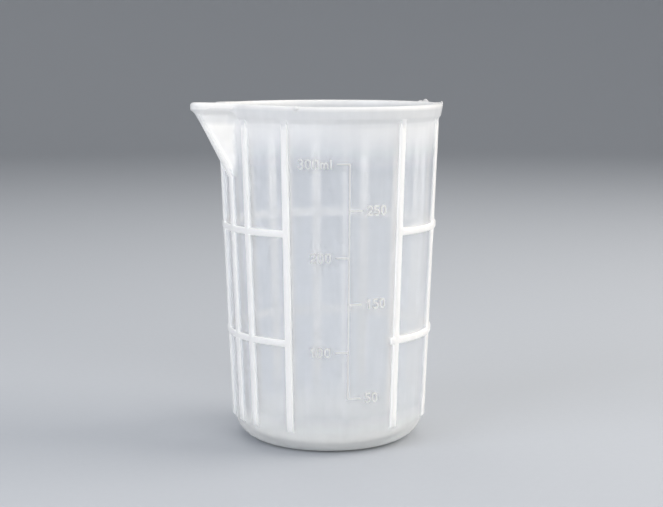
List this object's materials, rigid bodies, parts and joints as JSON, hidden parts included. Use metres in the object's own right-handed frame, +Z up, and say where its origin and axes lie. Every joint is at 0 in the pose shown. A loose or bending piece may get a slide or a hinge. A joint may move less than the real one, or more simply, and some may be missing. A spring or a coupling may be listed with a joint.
{
  "type": "resin mixing cup",
  "caption": "Translucent silicone mixing cup with a narrow pouring beak, a thick rim, stiffening ribs and hoops, and a raised volume scale.",
  "frame": {"origin": "centre of the flat underside that the cup stands on, on the cup's axis", "axes": "+Z up along the cup's axis, -X towards the pouring beak"},
  "size_m": [0.0873, 0.0756, 0.1136],
  "materials": {
    "silicone": "milky translucent silicone, satin as moulded"
  },
  "bodies": {
    "root": {"floor_disc": "silicone", "base_heel": "silicone", "cup_wall": "silicone", "rim_band": "silicone", "spout_beak": "silicone", "spout_lip": "silicone", "rib_under_spout": "silicone", "rib_1": "silicone", "rib_2": "silicone", "rib_3": "silicone", "rib_4": "silicone", "rib_5": "silicone", "rib_6": "silicone", "rib_7": "silicone", "rib_8": "silicone", "rib_9": "silicone", "rib_10": "silicone", "lower_hoop": "silicone", "upper_hoop": "silicone", "scale_lines": "silicone", "numeral_50": "silicone", "numeral_100": "silicone", "numeral_150": "silicone", "numeral_200": "silicone", "numeral_250": "silicone", "numeral_300ml": "silicone"}
  },
  "joints": []
}
